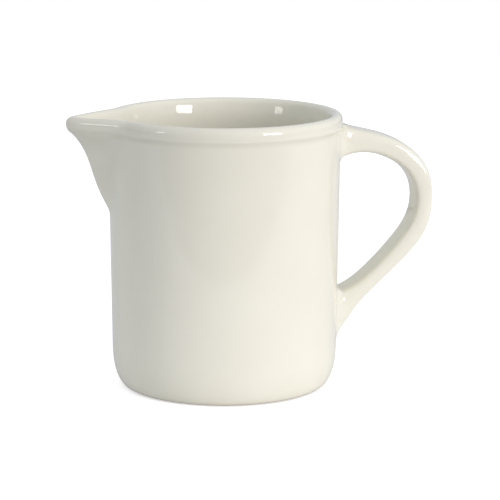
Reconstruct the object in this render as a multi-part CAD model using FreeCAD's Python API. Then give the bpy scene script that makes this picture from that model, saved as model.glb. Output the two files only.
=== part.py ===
"""Glazed stoneware milk pitcher: one fired piece with a rolled rim, a pulled spout and a strap handle.

Frame: origin on the body's axis in the plane of the foot, +Z up, the handle towards +X, the spout towards -X.
All sizes are in millimetres.
"""
import FreeCAD
import Part
import math
import os

# Body
height = 112.1
shoulder_radius = 47.2
base_radius = 45.85
base_round_radial = 5.8
base_round_height = 15.0

# Underside
foot_ring_width = 5.0
foot_recess_depth = 1.4
foot_recess_slope = 1.6

# Inside
wall = 4.1
floor_thickness = 5.2
floor_round = 9.0

# Rolled rim
bead_height = 6.5
bead_width = 4.84
bead_overhang = 0.75
lip_land = 0.16
lip_flare = 1.33
lip_flare_height = 9.2
bead_lower_round = 1.6
rim_step = 0.12

# Spout: a V with a rounded nose, slope is its run along the spout's axis for each unit across
spout_reach = 16.7
spout_root_height = 70.4
rim_slope = 1.35
rim_nose = 3.6
rim_blend = 1.6
keel_inset = 1.2
keel_straight_share = 0.84
keel_flare_power = 6
keel_slope_low = 1.0
keel_slope_high = 1.3
keel_nose = 4.0
spout_root_fillet = 2.0

# Handle
handle_reach = 35.5
handle_top_height = 99.4
handle_foot_height = 30.0
handle_width = 16.0
handle_thickness = 7.3
handle_roundness = 3.4
handle_root_fillet = 1.5

# Handle stations: out from the wall as a share of the reach, up as a share of the way from foot to top,
# then thickness and width as multiples of the strap's own. The strap swells where it is stuck on.
handle_stations = [
    (-0.250, 1.005, 2.20, 1.10),
    (-0.040, 1.005, 2.05, 1.08),
    (0.056, 1.004, 1.84, 1.05),
    (0.163, 1.001, 1.48, 1.02),
    (0.315, 0.996, 1.15, 1.00),
    (0.541, 0.963, 1.05, 1.00),
    (0.770, 0.904, 1.00, 1.00),
    (0.935, 0.797, 1.00, 1.00),
    (1.000, 0.656, 1.00, 1.00),
    (0.949, 0.519, 1.00, 1.00),
    (0.744, 0.367, 1.00, 1.00),
    (0.462, 0.222, 1.01, 1.00),
    (0.262, 0.124, 1.15, 1.01),
    (0.107, 0.055, 1.65, 1.04),
    (-0.040, 0.000, 2.60, 1.08),
    (-0.250, -0.020, 2.90, 1.10),
]

OUTLINE_POINTS = 144
POINT_CROWDING = 0.75
SECTION_POINTS = 28
SPOUT_SECTIONS = 9
SPOUT_SINK = 0.06
SPOUT_OVERRUN = 0.03
SPOUT_BACK = 2.5
ROUND_STEPS = 4
FLARE_STEPS = 6
SEAM_TURN = 75
TOUCH = 0.01

bead_radius = shoulder_radius + bead_overhang
bead_bottom = height - bead_height
bead_top_round = (bead_width - lip_land) / 2
blank_top = height - bead_height / 2
straight_top = height - bead_top_round
flare_bottom = straight_top - lip_flare_height
spout_tip = bead_radius + spout_reach
floor_height = foot_recess_depth + floor_thickness
up = FreeCAD.Vector(0, 0, 1)
centre = FreeCAD.Vector(0, 0, 0)


def point_xz(x, z):
    """Return the point (x, 0, z)."""
    return FreeCAD.Vector(x, 0, z)


def wall_radius(z):
    """Return the radius of the body's tapered outside at height z."""
    return base_radius + (shoulder_radius - base_radius) * z / bead_bottom


def flare_radius(z):
    """Return the radius of the inside at height z, from the foot of the flare to the lip's rounding."""
    rise = (z - flare_bottom) / lip_flare_height
    return bead_radius - bead_width - lip_flare * (1 - rise ** 2)


def rounded_corner(middle, radial, vertical):
    """Return the quarter ellipse in the XZ plane that runs from below its middle to the +X side."""
    points = []
    steps = 12
    for step in range(steps + 1):
        angle = math.radians(90 * step / steps - 90)
        points.append(middle + point_xz(radial * math.cos(angle), vertical * math.sin(angle)))
    curve = Part.BSplineCurve()
    curve.interpolate(points)
    return curve.toShape()


def revolve_profile(edges):
    """Turn the closed chain of edges in the XZ plane about the body's axis, with the seam at the side."""
    solid = Part.Face(Part.Wire(edges)).revolve(centre, up, 360)
    solid.rotate(centre, up, SEAM_TURN)
    return solid


def body_blank():
    """Return the body as a full block: tapered wall, round base edge and recessed underside."""
    tangent_radius = wall_radius(base_round_height)
    foot_radius = tangent_radius - base_round_radial
    ring_inner = foot_radius - foot_ring_width
    corners = [
        point_xz(tangent_radius, base_round_height),
        point_xz(wall_radius(blank_top), blank_top),
        point_xz(0, blank_top),
        point_xz(0, foot_recess_depth),
        point_xz(ring_inner - foot_recess_slope, foot_recess_depth),
        point_xz(ring_inner, 0),
        point_xz(foot_radius, 0),
    ]
    edges = [Part.makeLine(start, end) for start, end in zip(corners, corners[1:])]
    edges.append(rounded_corner(point_xz(foot_radius, base_round_height), base_round_radial, base_round_height))
    return revolve_profile(edges)


def cavity():
    """Return the round space inside, flared a little towards the underside of the bead."""
    corner_top = floor_height + floor_round
    lower = wall_radius(corner_top) - wall
    flare = []
    for step in range(FLARE_STEPS + 1):
        z = flare_bottom + (bead_bottom - flare_bottom) * step / FLARE_STEPS
        flare.append(point_xz(flare_radius(z) - rim_step, z))
    curve = Part.BSplineCurve()
    curve.interpolate(flare)
    corners = [
        flare[-1],
        point_xz(0, bead_bottom),
        point_xz(0, floor_height),
        point_xz(lower - floor_round, floor_height),
    ]
    edges = [Part.makeLine(start, end) for start, end in zip(corners, corners[1:])]
    edges.append(rounded_corner(point_xz(lower - floor_round, corner_top), floor_round, floor_round))
    edges.append(Part.makeLine(point_xz(lower, corner_top), flare[0]))
    edges.append(curve.toShape())
    return revolve_profile(edges)


def v_radius(angle, reach, slope, nose):
    """Return the polar radius, at an angle from the spout's axis, of a V with a rounded nose.

    The V is reach + slope * (nose - sqrt(across**2 + nose**2)) along the axis. Past the point where a
    flank comes closest to the middle, the radius stays as it is there.
    """
    turn = min(abs(math.atan2(math.sin(angle), math.cos(angle))), math.atan(slope))
    along = math.cos(turn)
    across = math.sin(turn)
    apex = reach + slope * nose
    square = along ** 2 - (slope * across) ** 2
    half = apex * along
    rest = apex ** 2 - (slope * nose) ** 2
    return rest / (half + math.sqrt(half ** 2 - square * rest))


def inset_nose(nose, slope, inset):
    """Return the nose of a V whose flanks and tip are all moved in by an inset."""
    return nose - inset * (math.hypot(1, slope) - 1) / slope


def smooth_max(first, second, width):
    """Return the larger of two values, blended over about the given width."""
    return (first + second + math.hypot(first - second, width)) / 2


def rim_outline(inset, z):
    """Return the closed plan curve of the rim at height z: a circle drawn out into the spout at -X.

    The curve lies an inset inside the bead's outermost line. Its points crowd towards the spout.
    """
    circle = bead_radius - inset
    nose = inset_nose(rim_nose, rim_slope, inset)
    points = []
    for index in range(OUTLINE_POINTS):
        turn = 2 * math.pi * index / OUTLINE_POINTS
        angle = turn - POINT_CROWDING * math.sin(turn)
        spout = v_radius(angle, spout_tip - inset, rim_slope, nose)
        radius = smooth_max(circle, spout, rim_blend)
        points.append(FreeCAD.Vector(-radius * math.cos(angle), -radius * math.sin(angle), z))
    curve = Part.BSplineCurve()
    curve.interpolate(Points=points, PeriodicFlag=True)
    return Part.Wire(curve.toShape())


def collar():
    """Return the rim as a full block, rounded at its outer edges above and below."""
    sections = []
    for step in range(ROUND_STEPS + 1):
        angle = math.radians(90 * step / ROUND_STEPS - 90)
        inset = bead_lower_round * (1 - math.cos(angle))
        sections.append(rim_outline(inset, bead_bottom + bead_lower_round * (1 + math.sin(angle))))
    sections.append(rim_outline(0, (bead_bottom + bead_lower_round + straight_top) / 2))
    for step in range(ROUND_STEPS + 1):
        angle = math.radians(90 * step / ROUND_STEPS)
        inset = bead_top_round * (1 - math.cos(angle))
        sections.append(rim_outline(inset, straight_top + bead_top_round * math.sin(angle)))
    return Part.makeLoft(sections, True, False)


def mouth():
    """Return the space inside the rim, which goes on with the flare and opens out over the lip's inner half."""
    sections = []
    for step in range(ROUND_STEPS):
        z = bead_bottom + (straight_top - bead_bottom) * step / ROUND_STEPS
        sections.append(rim_outline(bead_radius - flare_radius(z), z))
    for step in range(ROUND_STEPS + 1):
        angle = math.radians(90 * step / ROUND_STEPS)
        inset = bead_width - bead_top_round * (1 - math.cos(angle))
        sections.append(rim_outline(inset, straight_top + bead_top_round * math.sin(angle)))
    return Part.makeLoft(sections, True, False)


def keel_radius(share):
    """Return how far the spout's underside stands from the axis, a share of the way up to the bead."""
    rise = keel_straight_share * share + (1 - keel_straight_share) * share ** keel_flare_power
    root = wall_radius(spout_root_height)
    return root + (spout_tip - keel_inset - root) * rise


def spout_loft(inset, high_share):
    """Return the spout up to a share of its height as a loft of V sections, moved in by an inset.

    It starts a little below its root, where it lies within the wall.
    """
    sections = []
    back = shoulder_radius - SPOUT_BACK * wall
    for index in range(SPOUT_SECTIONS):
        share = (high_share + SPOUT_SINK) * index / (SPOUT_SECTIONS - 1) - SPOUT_SINK
        slope = keel_slope_low + (keel_slope_high - keel_slope_low) * share
        nose = inset_nose(keel_nose, slope, inset)
        reach = keel_radius(share) - inset
        half_width = math.sqrt(((reach - back) / slope + nose) ** 2 - nose ** 2)
        z = spout_root_height + (bead_bottom - spout_root_height) * share
        points = []
        for step in range(SECTION_POINTS + 1):
            across = half_width * (2 * step / SECTION_POINTS - 1)
            along = reach + slope * (nose - math.hypot(across, nose))
            points.append(FreeCAD.Vector(-along, across, z))
        curve = Part.BSplineCurve()
        curve.interpolate(points)
        sections.append(Part.Wire([curve.toShape(), Part.makeLine(points[-1], points[0])]))
    return Part.makeLoft(sections, True, False)


def handle():
    """Return the strap handle: a loft of soft rectangles along a loop from the rim down to the wall."""
    path = []
    for out, rise, _, _ in handle_stations:
        z = handle_foot_height + (handle_top_height - handle_foot_height) * rise
        path.append(point_xz(shoulder_radius + handle_reach * out, z))
    route = Part.BSplineCurve()
    route.interpolate(Points=path, InitialTangent=point_xz(1, 0), FinalTangent=point_xz(-1, 0))
    sections = []
    for place, (_, _, thick, wide) in zip(path, handle_stations):
        tangent = FreeCAD.Vector(route.tangent(route.parameter(place))[0])
        outward = FreeCAD.Vector(-tangent.z, 0, tangent.x)
        half_thick = handle_thickness * thick / 2
        half_wide = handle_width * wide / 2
        points = []
        for step in range(SECTION_POINTS):
            angle = 2 * math.pi * step / SECTION_POINTS
            out = abs(math.cos(angle)) ** (2 / handle_roundness) * math.copysign(1, math.cos(angle))
            side = abs(math.sin(angle)) ** (2 / handle_roundness) * math.copysign(1, math.sin(angle))
            points.append(place + outward * (half_thick * out) + FreeCAD.Vector(0, half_wide * side, 0))
        curve = Part.BSplineCurve()
        curve.interpolate(Points=points, PeriodicFlag=True)
        sections.append(Part.Wire(curve.toShape()))
    return Part.makeLoft(sections, True, False)


def meeting_edges(joined, first, second):
    """Return the joined shape's edges along which its first and second piece meet."""
    edges = []
    for edge in joined.Edges:
        middle = Part.Vertex(edge.valueAt((edge.FirstParameter + edge.LastParameter) / 2))
        distances = [middle.distToShape(piece.Shells[0])[0] for piece in (first, second)]
        if max(distances) < TOUCH:
            edges.append(edge)
    return edges


def pitcher():
    """Return the whole pitcher: the outer forms joined and blended where they meet, then hollowed."""
    block = body_blank()
    spout = spout_loft(0, 1 + SPOUT_OVERRUN)
    jug = block.fuse([spout, collar()])
    jug = jug.makeFillet(spout_root_fillet, meeting_edges(jug, spout, block))
    strap = handle()
    outside = jug.fuse(strap)
    outside = outside.makeFillet(handle_root_fillet, meeting_edges(outside, strap, jug))
    channel = spout_loft(bead_width, 1)
    return outside.cut([cavity(), channel, mouth()])


os.makedirs("parts", exist_ok=True)
pitcher().exportStep("parts/pitcher.step")
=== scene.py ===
"""Looks of a glazed stoneware milk pitcher: its thrown body, pulled spout, strap handle, glaze and studio.

Lengths are in metres, in the part's own frame: the foot's centre is the origin, +Z is up, the handle
points along +X and the spout along -X. Values that say so are in millimetres.
"""

from __future__ import annotations

import logging
import math
from dataclasses import dataclass, field
from enum import Enum
from typing import Callable, Mapping, Sequence

import bmesh
import bpy
from mathutils import Matrix, Vector

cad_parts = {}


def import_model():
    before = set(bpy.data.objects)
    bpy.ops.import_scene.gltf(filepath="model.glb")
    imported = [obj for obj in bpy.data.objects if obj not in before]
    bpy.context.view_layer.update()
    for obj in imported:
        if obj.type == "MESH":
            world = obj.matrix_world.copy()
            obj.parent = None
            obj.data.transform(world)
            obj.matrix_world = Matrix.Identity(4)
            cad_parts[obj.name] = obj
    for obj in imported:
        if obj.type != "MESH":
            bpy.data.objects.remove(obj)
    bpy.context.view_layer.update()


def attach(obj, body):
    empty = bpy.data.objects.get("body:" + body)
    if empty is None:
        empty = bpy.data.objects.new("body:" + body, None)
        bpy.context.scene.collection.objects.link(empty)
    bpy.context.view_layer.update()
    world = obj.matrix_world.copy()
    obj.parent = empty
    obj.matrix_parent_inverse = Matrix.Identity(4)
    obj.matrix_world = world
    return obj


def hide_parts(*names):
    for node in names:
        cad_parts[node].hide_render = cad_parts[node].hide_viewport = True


log = logging.getLogger("pitcher")

Colour = tuple[float, float, float]

NODE = "pitcher"
WHITE = (1.0, 1.0, 1.0)
MM = 0.001
NEAR = 0.1 * MM  # how near a ring a point counts as on it
SAME_POINT = 0.01 * MM  # how near each other two points are one
SHARPEST_NOSE = 0.3 * MM  # the least rounding of the spout's nose
AIM_HEIGHT = 60.0 * MM  # the height that the lamps face


class Part(Enum):
    """What an edit-mode selection is made of: the operator's word and the mesh's list."""

    VERTS = ("VERT", "verts")
    EDGES = ("EDGE", "edges")
    FACES = ("FACE", "faces")


class Pull(Enum):
    """A direction in which the spout's clay is pulled, as a Displace modifier's axis and sign."""

    OUT = ("X", -1.0)
    LEFT = ("Y", 1.0)
    RIGHT = ("Y", -1.0)
    DOWN = ("Z", -1.0)


# ---------------------------------------------------------------- hand tools


def deselect_objects() -> None:
    """Leave edit mode and clear the object selection."""
    if bpy.context.object and bpy.context.object.mode != "OBJECT":
        bpy.ops.object.mode_set(mode="OBJECT")
    bpy.ops.object.select_all(action="DESELECT")


def activate(piece: bpy.types.Object) -> None:
    """Make a piece the only selected and active object.

    Args:
        piece: The object to work on.
    """
    deselect_objects()
    piece.select_set(True)
    bpy.context.view_layer.objects.active = piece


def choose(piece: bpy.types.Object, kind: Part, test: Callable[..., bool]) -> None:
    """Select the elements of the mesh in edit mode that pass a test, and nothing else.

    Args:
        piece: The object in edit mode.
        kind: Which elements to look at.
        test: Says whether an element is wanted.
    """
    word, elements = kind.value
    bpy.ops.mesh.select_mode(type=word)
    bpy.ops.mesh.select_all(action="DESELECT")
    mesh = bmesh.from_edit_mesh(piece.data)
    for element in getattr(mesh, elements):
        if test(element):
            element.select_set(True)
    mesh.select_flush_mode()
    bmesh.update_edit_mesh(piece.data)


def turn_selection(degrees: float, centre: Vector) -> None:
    """Turn the selection about Y through a point, so that a positive pitch lifts the way it faces.

    Args:
        degrees: The angle.
        centre: The point that stays.
    """
    bpy.ops.transform.rotate(
        value=math.radians(degrees), orient_axis="Y", orient_type="GLOBAL", center_override=centre)


def apply_modifier(piece: bpy.types.Object, kind: str, **values: object) -> None:
    """Add a modifier to the active piece, set it and apply it.

    Args:
        piece: The object that takes the modifier.
        kind: The modifier's type.
        **values: Its settings, by name.
    """
    modifier = piece.modifiers.new(kind.title(), kind)
    for name, value in values.items():
        setattr(modifier, name, value)
    bpy.ops.object.modifier_apply(modifier=modifier.name)


# ---------------------------------------------------------------- the form


@dataclass(frozen=True)
class RoundedV:
    """The plan of the spout: a V whose nose is rounded, with its axis along -X.

    Its reach is reach + slope * (nose - sqrt(across**2 + nose**2)) at a distance across the axis.
    """

    reach: float
    slope: float
    nose: float

    def inside(self, inset: float) -> RoundedV:
        """Return the V moved in by an inset, at its flanks as at its tip."""
        shorter = inset * (math.hypot(1.0, self.slope) - 1.0) / self.slope
        return RoundedV(self.reach - inset, self.slope, max(self.nose - shorter, SHARPEST_NOSE))

    def radius(self, angle: float) -> float:
        """Return the polar radius at an angle from the axis, held once a flank is past its nearest point.

        Args:
            angle: The angle from the spout's axis, to either side.

        Returns:
            The distance from the body's axis to the V at that angle.
        """
        turn = min(abs(angle), math.atan(self.slope))
        along = math.cos(turn)
        apex = self.reach + self.slope * self.nose
        square = along**2 - (self.slope * math.sin(turn)) ** 2
        half = apex * along
        rest = apex**2 - (self.slope * self.nose) ** 2
        return rest / (half + math.sqrt(half**2 - square * rest))


def soft_max(first: float, second: float, width: float) -> float:
    """Return the larger of two lengths, blended over about the given width."""
    return (first + second + math.hypot(first - second, width)) / 2.0


@dataclass
class Ring:
    """One ring of the body's wall.

    Attributes:
        radius: Its radius away from the spout.
        height: Its height above the foot.
        spout: The spout's plan at this ring, or None where the ring stays round.
        blend: The width of the turn between the round wall and the spout's flank.
        drop: How far the ring sinks at the tip of the spout.
    """

    radius: float
    height: float
    spout: RoundedV | None = None
    blend: float = 0.9 * MM
    drop: float = 0.0

    def gap(self, place: Vector) -> float:
        """Return how far a point lies from the ring while it is still round."""
        return math.hypot(place.xy.length - self.radius, place.z - self.height)


@dataclass
class Body:
    """The thrown body: foot, tapered wall, rolled rim, inside and the spout pulled out of it.

    Attributes:
        bead_shoulder: The height of the bead's outer rounding.
        lip_flare: How far the inside opens under the lip.
        spout_root: The height at which the spout leaves the wall.
        spout_drop: How far the rim sinks at the spout's tip.
        rim_slope: The slope of the flanks of the spout's rim, seen from above.
        keel_inset: How far the keel stays behind the rim's tip.
        keel_straight: The share of the keel's reach that grows evenly with height.
        keel_swell: How full the keel is low down.
        keel_power: How late the rest of its reach comes.
        keel_slopes: The slopes of its flanks at its root and under the bead, seen from above.
        root_fade: How far under its root it fades out, as a share of its height.
        columns: How many points a ring has.
        foot_margin: How far inside the base's rounding the last flat ring of the foot lies.
        recess_step: The rings of the step into the recess: how far each lies outside the recess's edge, in
            millimetres, and at what share of its depth.
        recess_rim: How far outside the recess's edge, and how high, the ring after that step lies.
        base_turns: Where the rings lie on the base's quarter round, in degrees up from level.
        outside_heights: The heights of the outer wall's rings, in millimetres. The handle's holes end on
            some of them.
        bead_crease: The rings in the crease under the bead: the inset, the height over the bead's bottom and
            the further inset on the spout, in millimetres.
        bead_turns: Where the rings lie on the bead's outer rounding, in degrees.
        lip_turns: The same on the lip's inner rounding.
        lip_shares: Where the rings inside the lip lie, from the crease's height (0) up to the rounding (1).
        inside_heights: The heights of the inner wall's rings, in millimetres.
        floor_turns: Where the rings lie on the inner corner's quarter round, in degrees down from level.
        floor_middle: The radius of the floor's last ring, as a share of the flat floor's.
        spread: The angle to either side within which the rings' points are drawn toward the spout's tip.
        tip_spacing: How far apart they stay at the tip, as a share of their even spacing.
    """

    height: float = 112.1 * MM
    shoulder_radius: float = 47.2 * MM
    base_radius: float = 45.85 * MM
    base_round_radial: float = 5.8 * MM
    base_round_height: float = 15.0 * MM
    foot_ring_width: float = 5.0 * MM
    recess_depth: float = 1.4 * MM
    wall: float = 4.1 * MM
    floor_thickness: float = 5.2 * MM
    floor_round: float = 9.0 * MM
    bead_height: float = 6.5 * MM
    bead_width: float = 4.84 * MM
    bead_overhang: float = 0.75 * MM
    bead_round: float = 2.36 * MM
    bead_shoulder: float = 2.6 * MM
    lip_flare: float = 0.8 * MM
    flare_height: float = 8.2 * MM
    spout_reach: float = 16.95 * MM
    spout_root: float = 73.0 * MM
    spout_drop: float = 0.5 * MM
    rim_slope: float = 1.24
    rim_nose: float = 3.4 * MM
    keel_inset: float = 1.7 * MM
    keel_straight: float = 0.70
    keel_swell: float = 0.79
    keel_power: int = 5
    keel_slopes: tuple[float, float] = (1.0, 1.22)
    keel_nose: float = 3.4 * MM
    root_fade: float = 0.3
    columns: int = 96
    foot_margin: float = 0.9 * MM
    recess_step: Sequence[tuple[float, float]] = ((-4.0, 1.0), (-1.7, 0.95), (-0.6, 0.45))
    recess_rim: tuple[float, float] = (0.3 * MM, 0.06 * MM)
    base_turns: Sequence[float] = (-82, -68, -52, -36, -20, -6)
    outside_heights: Sequence[float] = (
        20, 23.8, 27.6, 31.4, 35.2, 39, 46, 62, 66, 69, 72, 75, 79, 84, 88.5, 92.7, 96.2, 99.7, 103, 105.1)
    bead_crease: Sequence[tuple[float, float, float]] = (
        (0.5, 0.25, 0.95), (0.15, 0.8, 0.9), (0.0, 1.7, 0.35))
    bead_turns: Sequence[float] = (0, 30, 60)
    lip_turns: Sequence[float] = (60, 30, 4)
    lip_shares: Sequence[float] = (0.67, 0.33, 0.04)
    inside_heights: Sequence[float] = (104.5, 103, 101.3, 97.5, 92, 86.5, 81, 76, 71, 65, 24)
    floor_turns: Sequence[float] = (0, 30, 60, 90)
    floor_middle: float = 0.7
    spread: float = math.radians(50.0)
    tip_spacing: float = 0.55
    rings: list[Ring] = field(default_factory=list)

    @property
    def bead_bottom(self) -> float:
        """Height of the line under the bead."""
        return self.height - self.bead_height

    @property
    def bead_radius(self) -> float:
        """Radius of the bead's outermost line."""
        return self.shoulder_radius + self.bead_overhang

    @property
    def spout_tip(self) -> float:
        """Distance of the spout's tip from the body's axis."""
        return self.bead_radius + self.spout_reach

    @property
    def corner_height(self) -> float:
        """Height at which the inner wall turns into the floor's rounding."""
        return self.recess_depth + self.floor_thickness + self.floor_round

    def wall_radius(self, height: float) -> float:
        """Return the radius of the tapered outside at a height."""
        return self.base_radius + (self.shoulder_radius - self.base_radius) * height / self.bead_bottom

    def rim_ring(self, inset: float, height: float, tip_inset: float = 0.0) -> Ring:
        """Return a ring of the bead.

        Args:
            inset: How far the ring lies inside the bead's outermost line.
            height: The height of the ring.
            tip_inset: How much further in it lies on the spout, where the bead fades away.

        Returns:
            The ring, with the spout's rim in it.
        """
        rim = RoundedV(self.spout_tip, self.rim_slope, self.rim_nose).inside(inset + tip_inset)
        return Ring(self.bead_radius - inset, height, rim, drop=self.spout_drop)

    def keel(self, height: float, inset: float) -> RoundedV | None:
        """Return the spout's plan below the bead.

        Args:
            height: The height of the ring.
            inset: How far the ring lies inside the spout's outer face.

        Returns:
            The plan, or None well under the spout's root.
        """
        share = (height - self.spout_root) / (self.bead_bottom - self.spout_root)
        if share <= -self.root_fade:
            return None
        rise = self.keel_straight * share + self.keel_swell * share * (1.0 - share) ** 2
        rise += (1.0 - self.keel_straight) * share**self.keel_power
        root = self.wall_radius(self.spout_root)
        reach = root + (self.spout_tip - self.keel_inset - root) * rise
        low, high = self.keel_slopes
        return RoundedV(reach, low + (high - low) * share, self.keel_nose).inside(inset)

    def inner_radius(self, height: float) -> float:
        """Return the radius of the inside: straight from above the floor, then flared under the lip.

        Args:
            height: The height above the foot.

        Returns:
            The radius at that height.
        """
        top = self.height - self.bead_round
        bottom = top - self.flare_height
        high = self.bead_radius - self.bead_width
        if height > bottom:
            return high - self.lip_flare * (1.0 - ((height - bottom) / self.flare_height) ** 2)
        low = self.wall_radius(self.corner_height) - self.wall
        share = (height - self.corner_height) / (bottom - self.corner_height)
        return low + (high - self.lip_flare - low) * share

    def foot_rings(self) -> list[Ring]:
        """Set out the recessed underside and the round base edge.

        Returns:
            Their rings, from the middle out.
        """
        foot = self.wall_radius(self.base_round_height) - self.base_round_radial
        edge = foot - self.foot_ring_width
        rings = [Ring(edge + outward * MM, self.recess_depth * share) for outward, share in self.recess_step]
        beyond, lift = self.recess_rim
        rings.append(Ring(edge + beyond, lift))
        rings.append(Ring(foot - self.foot_margin, 0.0))
        for turn in map(math.radians, self.base_turns):
            radius = foot + self.base_round_radial * math.cos(turn)
            rings.append(Ring(radius, self.base_round_height * (1.0 + math.sin(turn))))
        return rings

    def wall_rings(self) -> list[Ring]:
        """Return the rings of the outer wall, from the base up to the bead."""
        heights = [height * MM for height in self.outside_heights]
        return [Ring(self.wall_radius(height), height, self.keel(height, 0.0)) for height in heights]

    def bead_rings(self) -> list[Ring]:
        """Set out the bead and the lip.

        Returns:
            Their rings, from the line under the bead over the lip to the inside.
        """
        low = self.bead_bottom
        top = self.height - self.bead_round
        rings = []
        for inset, rise, tip_inset in self.bead_crease:
            rings.append(self.rim_ring(inset * MM, low + rise * MM, tip_inset * MM))
        for turn in map(math.radians, self.bead_turns):
            inset = self.bead_round * (1.0 - math.cos(turn))
            rings.append(self.rim_ring(inset, self.height - self.bead_shoulder * (1.0 - math.sin(turn))))
        rings.append(self.rim_ring(self.bead_width / 2.0, self.height))
        for turn in map(math.radians, self.lip_turns):
            inset = self.bead_width - self.bead_round * (1.0 - math.cos(turn))
            rings.append(self.rim_ring(inset, top + self.bead_round * math.sin(turn)))
        for share in self.lip_shares:
            height = low + (top - low) * share
            rings.append(self.rim_ring(self.bead_radius - self.inner_radius(height), height))
        return rings

    def inner_rings(self) -> list[Ring]:
        """Set out the inside.

        Returns:
            Its rings, from below the lip down to the middle of the floor.
        """
        rings = []
        for height in (height * MM for height in self.inside_heights):
            rings.append(Ring(self.inner_radius(height), height, self.keel(height, self.bead_width)))
        flat = self.wall_radius(self.corner_height) - self.wall - self.floor_round
        for turn in map(math.radians, self.floor_turns):
            radius = flat + self.floor_round * math.cos(turn)
            rings.append(Ring(radius, self.corner_height - self.floor_round * math.sin(turn)))
        rings.append(Ring(flat * self.floor_middle, self.corner_height - self.floor_round))
        return rings

    def build(self) -> bpy.types.Object:
        """Draw the wall up ring by ring from a circle, close both ends and pull the spout.

        Returns:
            The body as a mesh of clean rings, before it is smoothed.
        """
        self.rings = self.foot_rings() + self.wall_rings() + self.bead_rings() + self.inner_rings()
        first = self.rings[0]
        deselect_objects()
        bpy.ops.mesh.primitive_circle_add(
            vertices=self.columns, radius=first.radius, location=(0, 0, first.height))
        piece = bpy.context.object
        bpy.ops.object.transform_apply(location=True, rotation=True, scale=True)
        bpy.ops.object.mode_set(mode="EDIT")
        bpy.ops.mesh.select_mode(type="EDGE")
        bpy.ops.mesh.select_all(action="SELECT")
        for below, above in zip(self.rings, self.rings[1:]):
            lift = (0.0, 0.0, above.height - below.height)
            bpy.ops.mesh.extrude_edges_move(TRANSFORM_OT_translate={"value": lift})
            grow = above.radius / below.radius
            bpy.ops.transform.resize(value=(grow, grow, 1.0), center_override=(0.0, 0.0, above.height))
        self._close(piece, self.rings[-1])
        self._close(piece, self.rings[0])
        bpy.ops.mesh.select_all(action="SELECT")
        bpy.ops.mesh.normals_make_consistent(inside=False)
        bpy.ops.object.mode_set(mode="OBJECT")
        self._pull_spout(piece)
        return piece

    def _close(self, piece: bpy.types.Object, ring: Ring) -> None:
        """Close the flat disc inside a ring with one face.

        Args:
            piece: The body in edit mode.
            ring: The ring round the opening.
        """
        choose(piece, Part.VERTS, lambda vert: ring.gap(vert.co) < NEAR)
        bpy.ops.mesh.edge_face_add()

    def _pulled(self, place: Vector, ring: Ring) -> Vector:
        """Return where a point of a ring lies once the spout is pulled.

        Args:
            place: The point on the round ring.
            ring: The ring that it belongs to.

        Returns:
            The point's new place.
        """
        angle = math.atan2(place.y, -place.x)
        share = abs(angle) / self.spread
        if share < 1.0:
            drawn = self.tip_spacing * share + (1.0 - self.tip_spacing) * share**3
            angle = math.copysign(self.spread * drawn, angle)
        radius = soft_max(ring.radius, ring.spout.radius(angle), ring.blend)
        radius -= soft_max(ring.radius, ring.spout.radius(math.pi / 2.0), ring.blend) - ring.radius
        pull = max(radius - ring.radius, 0.0) / self.spout_reach
        sunk = place.z - ring.drop * pull**2
        return Vector((-radius * math.cos(angle), radius * math.sin(angle), sunk))

    def _pull_spout(self, piece: bpy.types.Object) -> None:
        """Draw the upper wall out into the spout with weighted Displace modifiers.

        Args:
            piece: The round body, in object mode.
        """
        activate(piece)
        moves: dict[int, Vector] = {}
        for vert in piece.data.vertices:
            ring = min(self.rings, key=lambda one: one.gap(vert.co))
            if ring.spout is not None and vert.co.x < 0.0:
                moves[vert.index] = self._pulled(vert.co, ring) - vert.co
        longest = max(move.length for move in moves.values())
        for pull in Pull:
            axis, sign = pull.value
            group = piece.vertex_groups.new(name=pull.name)
            for index, move in moves.items():
                group.add([index], max(sign * getattr(move, axis.lower()) / longest, 0.0), "REPLACE")
        for pull in Pull:
            axis, sign = pull.value
            apply_modifier(
                piece, "DISPLACE", direction=axis, strength=sign * longest, mid_level=0.0,
                vertex_group=pull.name)
        piece.vertex_groups.clear()


@dataclass(frozen=True)
class Station:
    """A place on the strap's loop, in millimetres and degrees.

    Attributes:
        out: How far its centre lies from the body's axis.
        up: How high its centre lies.
        pitch: The way that the strap runs there, up from level.
        thickness: The strap's thickness.
        width: Its width.
    """

    out: float
    up: float
    pitch: float
    thickness: float
    width: float = 16.0

    @property
    def centre(self) -> Vector:
        """The station's centre, in metres."""
        return Vector((self.out, 0.0, self.up)) * MM


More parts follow.
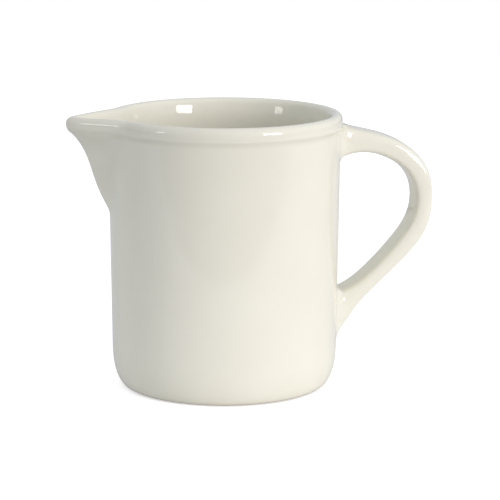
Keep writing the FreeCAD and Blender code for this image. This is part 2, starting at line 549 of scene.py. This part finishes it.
@dataclass
class Handle:
    """The strap handle, drawn from a hole under the rim, round its loop and into a hole low on the wall.

    Attributes:
        body: The body that carries it.
        half_columns: How many of the body's columns the holes take on each side of the middle.
        upper_hole: The heights between which the upper hole lies.
        lower_hole: The same for the lower hole.
        hole_margin: How near to a hole's edge, or to the outer wall, a point counts as on it.
        roundness: How square the strap's section is: 2 is an ellipse, and more is squarer.
        stations: The strap's course and sizes, from the upper root to the lower one.
    """

    body: Body
    half_columns: int = 3
    upper_hole: tuple[float, float] = (92.7 * MM, 107.0 * MM)
    lower_hole: tuple[float, float] = (20.0 * MM, 39.0 * MM)
    hole_margin: float = 1.0 * MM
    roundness: float = 3.8
    stations: Sequence[Station] = (
        Station(49.4, 99.75, 0, 13.2, 16.5),
        Station(51.4, 99.6, -2, 11.6, 16.1),
        Station(54.21, 99.55, -4, 10.2),
        Station(58.44, 99.11, -10, 9.1),
        Station(63.46, 98.09, -18, 8.7),
        Station(68.69, 96.08, -26, 8.75),
        Station(73.56, 93.43, -35, 8.6),
        Station(77.9, 89.77, -48, 8.5),
        Station(81.25, 84.81, -65, 8.3),
        Station(82.72, 78.84, -82, 7.5),
        Station(82.8, 72.55, -98, 7.3),
        Station(81.59, 66.21, -113, 7.65),
        Station(78.69, 60.55, -123, 7.8),
        Station(74.67, 55.62, -129, 7.6),
        Station(70.3, 50.92, -133, 7.1),
        Station(65.92, 46.58, -135, 6.7),
        Station(61.65, 42.53, -136, 6.6),
        Station(57.53, 38.93, -138, 6.8),
        Station(53.78, 35.76, -143, 8.2),
        Station(50.77, 33.27, -154, 10.4, 16.2),
        Station(49.18, 31.19, -168, 13.4, 16.6),
    )

    def add_to(self, piece: bpy.types.Object) -> None:
        """Open both holes in the body and draw the strap between them.

        Args:
            piece: The body's mesh, in object mode.
        """
        activate(piece)
        bpy.ops.object.mode_set(mode="EDIT")
        for low, high in (self.upper_hole, self.lower_hole):
            choose(piece, Part.FACES, lambda face: self._in_hole(face.calc_center_median(), low, high))
            bpy.ops.mesh.delete(type="FACE")
        choose(piece, Part.EDGES, self._on_upper_rim)
        bpy.ops.mesh.extrude_edges_move(TRANSFORM_OT_translate={"value": (0.0, 0.0, 0.0)})
        self._shape_section(piece, self.stations[0])
        for before, after in zip(self.stations, self.stations[1:]):
            self._draw_on(before, after)
        choose(piece, Part.EDGES, lambda edge: edge.is_boundary)
        bpy.ops.mesh.bridge_edge_loops()
        bpy.ops.object.mode_set(mode="OBJECT")

    def _in_hole(self, at: Vector, low: float, high: float) -> bool:
        """Return whether a point of the outer wall lies within a hole.

        Args:
            at: The point.
            low: The hole's lower edge.
            high: Its upper edge.

        Returns:
            Whether it does.
        """
        reach = math.tan(2.0 * math.pi * self.half_columns / self.body.columns)
        outside = at.xy.length > self.body.wall_radius(at.z) - self.hole_margin
        return at.x > 0.0 and abs(at.y) < reach * at.x and low < at.z < high and outside

    def _on_upper_rim(self, edge: bmesh.types.BMEdge) -> bool:
        """Return whether an edge is an open one round the upper hole.

        Args:
            edge: The edge.

        Returns:
            Whether it is.
        """
        low, high = self.upper_hole
        height = (edge.verts[0].co.z + edge.verts[1].co.z) / 2.0
        return edge.is_boundary and low - self.hole_margin < height < high + self.hole_margin

    def _section_point(self, turn: float, station: Station) -> Vector:
        """Return a point of a soft rectangle in the YZ plane.

        Args:
            turn: The point's turn about the rectangle's middle, counted from +Y to +Z.
            station: The section's size.

        Returns:
            The point, seen from the rectangle's middle.
        """
        power = 2.0 / self.roundness
        across, rise = (math.copysign(abs(part) ** power, part) for part in (math.cos(turn), math.sin(turn)))
        return Vector((0.0, station.width * across / 2.0, station.thickness * rise / 2.0)) * MM

    def _shape_section(self, piece: bpy.types.Object, station: Station) -> None:
        """Move the new edge loop's points onto the strap's section, one by one.

        Args:
            piece: The body in edit mode, with the loop selected.
            station: The section's place and size.
        """
        mesh = bmesh.from_edit_mesh(piece.data)
        chosen = {vert.index: vert.co.copy() for vert in mesh.verts if vert.select}
        low, high = self.upper_hole
        middle = (low + high) / 2.0
        half_width = max(abs(place.y) for place in chosen.values())
        for index, place in chosen.items():
            turn = math.atan2((place.z - middle) / (high - low) * 2.0, place.y / half_width)
            bpy.ops.mesh.select_all(action="DESELECT")
            mesh = bmesh.from_edit_mesh(piece.data)
            mesh.verts.ensure_lookup_table()
            mesh.verts[index].select_set(True)
            bmesh.update_edit_mesh(piece.data)
            bpy.ops.transform.translate(value=station.centre + self._section_point(turn, station) - place)
        choose(piece, Part.EDGES, lambda edge: all(vert.index in chosen for vert in edge.verts))

    def _draw_on(self, before: Station, after: Station) -> None:
        """Extrude the selected section from one station to the next.

        Args:
            before: Where the section is.
            after: Where the new one goes.
        """
        bpy.ops.mesh.extrude_edges_move(TRANSFORM_OT_translate={"value": (0.0, 0.0, 0.0)})
        turn_selection(-before.pitch, before.centre)
        size = (1.0, after.width / before.width, after.thickness / before.thickness)
        bpy.ops.transform.resize(value=size, center_override=before.centre)
        bpy.ops.transform.translate(value=after.centre - before.centre)
        turn_selection(after.pitch, after.centre)


# ---------------------------------------------------------------- the finishes


class Wiring:
    """A node tree, with the ways in which its nodes are added and joined."""

    def __init__(self, tree: bpy.types.NodeTree) -> None:
        """Take hold of a tree.

        Args:
            tree: The node tree.
        """
        self.nodes = tree.nodes
        self.links = tree.links

    def feed(self, node: bpy.types.Node, feeds: Mapping[str | int, object]) -> None:
        """Feed a node's inputs.

        Args:
            node: The node.
            feeds: What goes into each input, by its name or number: a constant, or another node's output.
        """
        for name, value in feeds.items():
            if isinstance(value, bpy.types.NodeSocket):
                self.links.new(value, node.inputs[name])
            else:
                node.inputs[name].default_value = value

    def add(
        self, kind: str, feeds: Mapping[str | int, object] | None = None, **settings: object,
    ) -> bpy.types.Node:
        """Add a node, set it and feed it.

        Args:
            kind: The node's type.
            feeds: What goes into its inputs.
            **settings: The node's own settings, by name.

        Returns:
            The node.
        """
        node = self.nodes.new(kind)
        for name, value in settings.items():
            setattr(node, name, value)
        self.feed(node, feeds or {})
        return node

    def ramp(self, value: bpy.types.NodeSocket, start: float, end: float) -> bpy.types.NodeSocket:
        """Return a smooth ramp that is 0 at the start and 1 at the end.

        Args:
            value: What the ramp follows.
            start: Where it begins to rise.
            end: Where it is full.

        Returns:
            The ramp's output.
        """
        feeds = {"Value": value, "From Min": start, "From Max": end}
        return self.add("ShaderNodeMapRange", feeds, interpolation_type="SMOOTHSTEP").outputs["Result"]

    def join(self, way: str, first: object, second: object) -> bpy.types.NodeSocket:
        """Return two values joined by arithmetic.

        Args:
            way: The operation, as Blender names it.
            first: One value, as a constant or an output.
            second: The other.

        Returns:
            The result's output.
        """
        return self.add("ShaderNodeMath", {0: first, 1: second}, operation=way).outputs["Value"]

    def mix(self, share: bpy.types.NodeSocket, first: object, second: object) -> bpy.types.NodeSocket:
        """Return two colours mixed.

        Args:
            share: How much of the second shows.
            first: One colour, as a constant or an output.
            second: The other.

        Returns:
            The mixed colour's output.
        """
        colours = [(*colour, 1.0) if isinstance(colour, tuple) else colour for colour in (first, second)]
        feeds = {"Factor": share, "A": colours[0], "B": colours[1]}
        return self.add("ShaderNodeMix", feeds, data_type="RGBA").outputs["Result"]


@dataclass(frozen=True)
class PaintedShadeZone:
    """A zone of the outside that is painted darker as shade: the crease under the bead, or the underside of
    the spout's lip.

    Attributes:
        share: How much of the painted shade colour shows there.
        along: Where along X the zone begins and where it is full.
        up: The heights at which it begins, is full, begins to fade and ends, in millimetres.
    """

    share: float
    along: tuple[float, float]
    up: tuple[float, float, float, float]


@dataclass(frozen=True)
class Glaze:
    """An opaque, glossy off-white stoneware glaze, with bare clay where the foot was wiped clean.

    Attributes:
        pooled: The colour where the glaze lies thicker.
        thin: The colour where it lies thinner.
        painted_shade_colour: A darker olive painted as shade in the crease under the bead and under the
            spout's lip.
        painted_shade_zones: The zones where that painted shade lies.
        outward_span: What makes a face count as outside: its distance from the body's axis, times how
        squarely it faces away from the axis, when the painted shade is whole on it.
        clay: The bare clay's colour.
        roughness: The glaze's roughness.
        clay_roughness: The bare clay's roughness.
        cloud_scale: How fine the drift between thick and thin is, per metre.
        cloud_detail: How many finer drifts lie in it.
        ripple_size: The size of the surface's ripples.
        ripple_depth: Their depth.
        ripple_strength: How much of that depth shows.
        wiped_height: How high the foot was wiped.
        wiped_fade: Where the wiped edge is all clay and where it is all glaze, as shares of that height.
        ior: The glaze's index of refraction.
    """

    pooled: Colour = (0.800, 0.782, 0.665)
    thin: Colour = (0.850, 0.834, 0.722)
    # Painted shade: a darker olive for the crease under the bead and the underside of the spout's lip.
    painted_shade_colour: Colour = (0.660, 0.645, 0.520)
    painted_shade_zones: Sequence[PaintedShadeZone] = (
        PaintedShadeZone(0.34, (-52.0 * MM, -46.0 * MM), (103.6, 105.2, 105.6, 107.0)),
        PaintedShadeZone(0.30, (-46.0 * MM, -52.0 * MM), (96.0, 103.5, 104.5, 109.0)),
    )
    outward_span: float = 10.0 * MM
    clay: Colour = (0.560, 0.470, 0.360)
    roughness: float = 0.05
    clay_roughness: float = 0.80
    cloud_scale: float = 38.0
    cloud_detail: float = 4.0
    ripple_size: float = 9.0 * MM
    ripple_depth: float = 0.15 * MM
    ripple_strength: float = 0.25
    wiped_height: float = 0.5 * MM
    wiped_fade: tuple[float, float] = (0.8, 1.3)
    ior: float = 1.52

    def material(self) -> bpy.types.Material:
        """Mix the glaze.

        Returns:
            A material that reads the piece's own coordinates.
        """
        material = bpy.data.materials.new("off_white_glaze")
        material.use_nodes = True
        material.node_tree.nodes.clear()
        wiring = Wiring(material.node_tree)
        place = wiring.add("ShaderNodeTexCoord").outputs["Object"]
        parts = wiring.add("ShaderNodeSeparateXYZ", {"Vector": place})
        clay_end, glaze_start = (share * self.wiped_height for share in self.wiped_fade)
        wiped = wiring.ramp(parts.outputs["Z"], glaze_start, clay_end)
        ends = {"Value": wiped, "To Min": self.roughness, "To Max": self.clay_roughness}
        shader = wiring.add("ShaderNodeBsdfPrincipled", {
            "Base Color": wiring.mix(wiped, self._colour(wiring, place, parts), self.clay),
            "Roughness": wiring.add("ShaderNodeMapRange", ends).outputs["Result"],
            "Normal": self._ripple(wiring, place),
            "IOR": self.ior,
        })
        wiring.add("ShaderNodeOutputMaterial", {"Surface": shader.outputs["BSDF"]})
        return material

    def _ripple(self, wiring: Wiring, place: bpy.types.NodeSocket) -> bpy.types.NodeSocket:
        """Return the normal of the gently rippled surface.

        Args:
            wiring: The material's wiring.
            place: The object coordinates.

        Returns:
            The normal's output.
        """
        feeds = {"Vector": place, "Scale": 1.0 / self.ripple_size, "Detail": 1.0}
        ripple = wiring.add("ShaderNodeTexNoise", feeds)
        bump = wiring.add("ShaderNodeBump", {
            "Height": ripple.outputs["Fac"], "Strength": self.ripple_strength, "Distance": self.ripple_depth})
        return bump.outputs["Normal"]

    def _colour(
        self, wiring: Wiring, place: bpy.types.NodeSocket, parts: bpy.types.Node,
    ) -> bpy.types.NodeSocket:
        """Return the glaze's colour: thick and thin, and darker outside where shade is painted into the
        crease under the bead and under the spout's lip.

        Args:
            wiring: The material's wiring.
            place: The object coordinates.
            parts: The node that splits them.

        Returns:
            The colour's output.
        """
        feeds = {"Vector": place, "Scale": self.cloud_scale, "Detail": self.cloud_detail}
        cloud = wiring.add("ShaderNodeTexNoise", feeds)
        clear = wiring.mix(cloud.outputs["Fac"], self.pooled, self.thin)
        flat = wiring.add("ShaderNodeVectorMath", {0: place, 1: (1.0, 1.0, 0.0)}, operation="MULTIPLY")
        normal = wiring.add("ShaderNodeNewGeometry").outputs["Normal"]
        outward = wiring.add(
            "ShaderNodeVectorMath", {0: flat.outputs["Vector"], 1: normal}, operation="DOT_PRODUCT")
        # Painted shade: darken the outside in the crease under the bead and under the spout's lip, where
        # shade falls.
        total: object = 0.0
        for zone in self.painted_shade_zones:
            low, full, still, high = (height * MM for height in zone.up)
            amount = wiring.ramp(outward.outputs["Value"], 0.0, self.outward_span)
            for axis, start, end in (("X", *zone.along), ("Z", low, full), ("Z", high, still)):
                amount = wiring.join("MULTIPLY", amount, wiring.ramp(parts.outputs[axis], start, end))
            total = wiring.join("ADD", wiring.join("MULTIPLY", amount, zone.share), total)
        return wiring.mix(total, clear, self.painted_shade_colour)


@dataclass(frozen=True)
class Paper:
    """Matt, pale paper that the light burns out nearly to white.

    Attributes:
        tone: How light the paper is.
        roughness: Its roughness.
        sheen: How strongly it mirrors.
        lift: How much light is added to it as seen by the camera.
    """

    tone: float = 0.86
    roughness: float = 0.9
    sheen: float = 0.1
    lift: float = 0.55

    def material(self) -> bpy.types.Material:
        """Make the paper.

        Returns:
            Its material.
        """
        material = bpy.data.materials.new("pale_paper")
        material.use_nodes = True
        wiring = Wiring(material.node_tree)
        seen = wiring.add("ShaderNodeLightPath").outputs["Is Camera Ray"]
        wiring.feed(wiring.nodes["Principled BSDF"], {
            "Base Color": (self.tone, self.tone, self.tone, 1.0),
            "Roughness": self.roughness,
            "Specular IOR Level": self.sheen,
            "Emission Color": (*WHITE, 1.0),
            "Emission Strength": wiring.join("MULTIPLY", seen, self.lift),
        })
        return material


# ---------------------------------------------------------------- the studio


@dataclass(frozen=True)
class Softbox:
    """A soft lamp that faces the pitcher.

    Attributes:
        name: What the lamp does.
        shape: The shape of its face, as Blender names it.
        bearing: How far it stands to the right of the camera, in degrees about the pitcher.
        elevation: How high it stands, in degrees.
        distance: Its distance from the pitcher.
        size: Its width and height.
        power: Its power in watts.
        mirrored: Whether the glaze mirrors it.
        colour: Its colour.
    """

    name: str
    shape: str
    bearing: float
    elevation: float
    distance: float
    size: tuple[float, float]
    power: float
    mirrored: bool = True
    colour: Colour = (1.0, 0.945, 0.945)

    def hang(self, turn: float) -> None:
        """Hang the lamp and face it to the middle of the pitcher.

        Args:
            turn: The camera's own bearing about the pitcher.
        """
        data = bpy.data.lights.new(self.name, "AREA")
        data.shape = self.shape
        data.size, data.size_y = self.size
        data.energy = self.power
        data.color = self.colour
        lamp = bpy.data.objects.new(self.name, data)
        lamp.visible_glossy = self.mirrored
        bpy.context.scene.collection.objects.link(lamp)
        bearing = math.radians(self.bearing - 90.0) - turn
        rise = math.radians(self.elevation)
        way = Vector((math.cos(bearing) * math.cos(rise), math.sin(bearing) * math.cos(rise), math.sin(rise)))
        lamp.location = Vector((0.0, 0.0, AIM_HEIGHT)) + way * self.distance
        lamp.rotation_euler = (-way).to_track_quat("-Z", "Y").to_euler()


@dataclass(frozen=True)
class Camera:
    """The camera, a little above the rim, looking down across the pitcher.

    Attributes:
        turn: Its bearing about the pitcher.
        pitch: How far it looks down.
        roll: How far it leans.
        unit: The body's radius, in which its place is counted.
        aim_height: The height that its place is counted from.
        offset: How far that point lies right of the view's middle, over it and ahead of the camera.
        lens: Its focal length, in millimetres.
        film: Its sensor's width, in millimetres.
        clip: The nearest and the farthest that it sees.
    """

    turn: float = math.radians(11.0)
    pitch: float = math.radians(11.30)
    roll: float = math.radians(0.1435)
    unit: float = 47.2 * MM
    aim_height: float = 1.2
    offset: tuple[float, float, float] = (-0.2221, 0.0323, 20.2544)
    lens: float = 168.15
    film: float = 36.0
    clip: tuple[float, float] = (0.05, 20.0)

    def set_up(self) -> None:
        """Place the camera and make it the scene's own."""
        right = Vector((1.0, 0.0, 0.0))
        ahead = Vector((0.0, math.cos(self.pitch), -math.sin(self.pitch)))
        over = right.cross(ahead)
        to_the_right, above, away = self.offset
        back = right * to_the_right + over * above + ahead * away
        place = (Vector((0.0, 0.0, self.aim_height)) - back) * self.unit
        data = bpy.data.cameras.new("camera")
        data.lens = self.lens
        data.sensor_width = self.film
        data.clip_start, data.clip_end = self.clip
        camera = bpy.data.objects.new("camera", data)
        bpy.context.scene.collection.objects.link(camera)
        turned = Matrix.Rotation(-self.turn, 4, "Z")
        axes = Matrix((right, over, -ahead)).transposed().to_4x4()
        rolled = Matrix.Rotation(self.roll, 4, "Z")
        camera.matrix_world = turned @ Matrix.Translation(place) @ axes @ rolled
        bpy.context.scene.camera = camera


@dataclass
class Studio:
    """A sheet of pale paper, soft lamps, the room's air and the camera.

    Attributes:
        camera: The camera.
        softboxes: The lamps.
        paper: The floor's finish.
        paper_size: The floor's width and depth.
        paper_front: How far its front edge lies before the pitcher's axis.
        paper_gap: How far it lies under the foot.
        sky: The room's light from above the horizon.
        gloom: Its light from below.
        horizon: The heights on the unit sphere between which one turns into the other.
        front_share: How bright the room is on the camera's side, as a share of its brightness elsewhere.
    """

    camera: Camera = Camera()
    softboxes: Sequence[Softbox] = (
        Softbox("key", "RECTANGLE", 45.0, 22.0, 1.5, (0.5, 0.5), 4.6, mirrored=False),
        Softbox("window", "RECTANGLE", 47.0, 8.0, 1.6, (0.5, 0.36), 8.6),
        Softbox("spot", "DISK", -63.0, 8.0, 1.6, (0.27, 0.27), 1.0),
    )
    paper: Paper = Paper()
    paper_size: tuple[float, float] = (1.6, 1.4)
    paper_front: float = 0.255
    paper_gap: float = 0.2 * MM
    sky: Colour = (0.650, 0.670, 0.712)
    gloom: Colour = (0.150, 0.152, 0.160)
    horizon: tuple[float, float] = (-0.06, 0.02)
    front_share: float = 0.82

    def build(self) -> None:
        """Lay the floor, hang the lamps, light the air and set the camera."""
        self._floor()
        for softbox in self.softboxes:
            softbox.hang(self.camera.turn)
        self._air()
        self.camera.set_up()
        bpy.context.scene.view_settings.view_transform = "Standard"
        bpy.context.scene.view_settings.look = "None"

    def _floor(self) -> None:
        """Lay a wide sheet of paper under the foot, square to the camera."""
        deselect_objects()
        width, depth = self.paper_size
        bpy.ops.mesh.primitive_plane_add(size=1.0)
        floor = bpy.context.object
        floor.scale = (width, depth, 1.0)
        floor.rotation_euler.z = -self.camera.turn
        middle = Vector((0.0, depth / 2.0 - self.paper_front, -self.paper_gap))
        floor.location = Matrix.Rotation(-self.camera.turn, 3, "Z") @ middle
        bpy.ops.object.transform_apply(location=True, rotation=True, scale=True)
        floor.name = "floor"
        floor.data.materials.append(self.paper.material())

    def _air(self) -> None:
        """Fill the room with soft light, dim under the horizon, before a white backdrop."""
        world = bpy.data.worlds.new("room")
        bpy.context.scene.world = world
        world.use_nodes = True
        wiring = Wiring(world.node_tree)
        way = wiring.add("ShaderNodeTexCoord").outputs["Generated"]
        height = wiring.add("ShaderNodeSeparateXYZ", {"Vector": way}).outputs["Z"]
        low, high = self.horizon
        above = wiring.add("ShaderNodeMapRange", {"Value": height, "From Min": low, "From Max": high})
        turn = self.camera.turn
        toward_camera = (-math.sin(turn), -math.cos(turn), 0.0)
        front = wiring.add("ShaderNodeVectorMath", {0: way, 1: toward_camera}, operation="DOT_PRODUCT")
        dim = wiring.add("ShaderNodeMapRange", {
            "Value": front.outputs["Value"], "To Min": 1.0, "To Max": self.front_share})
        room = wiring.nodes["Background"]
        wiring.feed(room, {
            "Color": wiring.mix(above.outputs["Result"], self.gloom, self.sky),
            "Strength": dim.outputs["Result"],
        })
        backdrop = wiring.add("ShaderNodeBackground", {"Color": (*WHITE, 1.0), "Strength": 1.0})
        choice = wiring.add("ShaderNodeMixShader", {
            "Fac": wiring.add("ShaderNodeLightPath").outputs["Is Camera Ray"],
            1: room.outputs["Background"],
            2: backdrop.outputs["Background"],
        })
        wiring.feed(wiring.nodes["World Output"], {"Surface": choice.outputs["Shader"]})


# ---------------------------------------------------------------- the piece


def dress_pitcher() -> bpy.types.Object:
    """Model the pitcher, smooth it, glaze it and put it in its solid's place.

    Returns:
        The finished piece.
    """
    body = Body()
    piece = body.build()
    piece.name = "glazed_pitcher"
    piece.data.name = piece.name
    Handle(body).add_to(piece)
    activate(piece)
    bpy.ops.object.mode_set(mode="EDIT")
    bpy.ops.mesh.select_all(action="SELECT")
    bpy.ops.mesh.remove_doubles(threshold=SAME_POINT)
    bpy.ops.mesh.normals_make_consistent(inside=False)
    bpy.ops.object.mode_set(mode="OBJECT")
    apply_modifier(piece, "SUBSURF", levels=2, render_levels=2)
    bpy.ops.object.shade_smooth()
    piece.data.materials.append(Glaze().material())
    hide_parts(NODE)
    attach(piece, "root")
    log.info("%s: %d faces", piece.name, len(piece.data.polygons))
    return piece


def main() -> None:
    """Load the frame, dress the pitcher and set the studio."""
    logging.basicConfig(level=logging.INFO, format="%(name)s: %(message)s")
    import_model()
    dress_pitcher()
    Studio().build()


if __name__ == "__main__":
    main()
